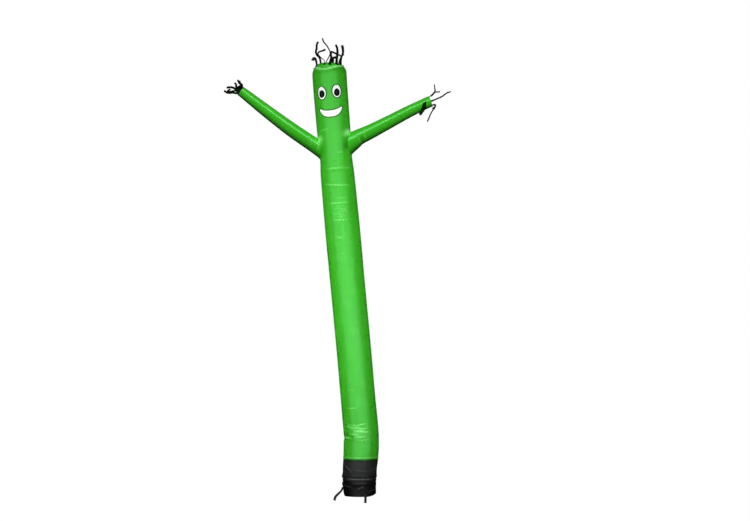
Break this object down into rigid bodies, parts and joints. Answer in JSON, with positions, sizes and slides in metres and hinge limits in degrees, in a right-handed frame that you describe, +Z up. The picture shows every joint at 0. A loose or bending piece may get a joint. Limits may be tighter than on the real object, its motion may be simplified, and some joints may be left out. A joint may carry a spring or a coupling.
{
  "type": "inflatable air dancer",
  "caption": "Tall leaning green cloth tube with a sewn smiling face, raised arms, black streamers on crown and hands, and a black sleeve with ties for a blower.",
  "frame": {"origin": "centre of the round mouth of the black base sleeve, at the level of its hem", "axes": "+Z up the tube, -Y the way the face looks, +X to the viewer's right"},
  "size_m": [2.9776, 0.465, 6.0817],
  "materials": {
    "green_nylon": "thin semi-gloss green nylon, blown taut",
    "black_cloth": "heavier coated black cloth, dull sheen",
    "black_webbing": "black woven webbing, matt",
    "black_ribbon": "thin black cloth ribbon, satin",
    "white_cloth": "thin white cloth, matt"
  },
  "bodies": {
    "root": {"body_tube": "green_nylon", "head_crown": "green_nylon", "arm_left": "green_nylon", "arm_right": "green_nylon", "base_sleeve": "black_cloth", "cinch_strap": "black_webbing", "tie_left": "black_webbing", "tie_front": "black_webbing", "eye_white_left": "white_cloth", "eye_white_right": "white_cloth", "mouth": "white_cloth", "pupil_left": "black_ribbon", "pupil_right": "black_ribbon", "hair_streamer_1": "black_ribbon", "hair_streamer_2": "black_ribbon", "hair_streamer_3": "black_ribbon", "hair_streamer_4": "black_ribbon", "hair_streamer_5": "black_ribbon", "hair_streamer_6": "black_ribbon", "hair_streamer_7": "black_ribbon", "hair_streamer_8": "black_ribbon", "hair_streamer_9": "black_ribbon", "hair_streamer_10": "black_ribbon", "left_hand_streamer_1": "black_ribbon", "left_hand_streamer_2": "black_ribbon", "left_hand_streamer_3": "black_ribbon", "left_hand_streamer_4": "black_ribbon", "left_hand_streamer_5": "black_ribbon", "left_hand_streamer_6": "black_ribbon", "left_hand_streamer_7": "black_ribbon", "right_hand_streamer_1": "black_ribbon", "right_hand_streamer_2": "black_ribbon", "right_hand_streamer_3": "black_ribbon", "right_hand_streamer_4": "black_ribbon", "right_hand_streamer_5": "black_ribbon", "right_hand_streamer_6": "black_ribbon"}
  },
  "joints": []
}
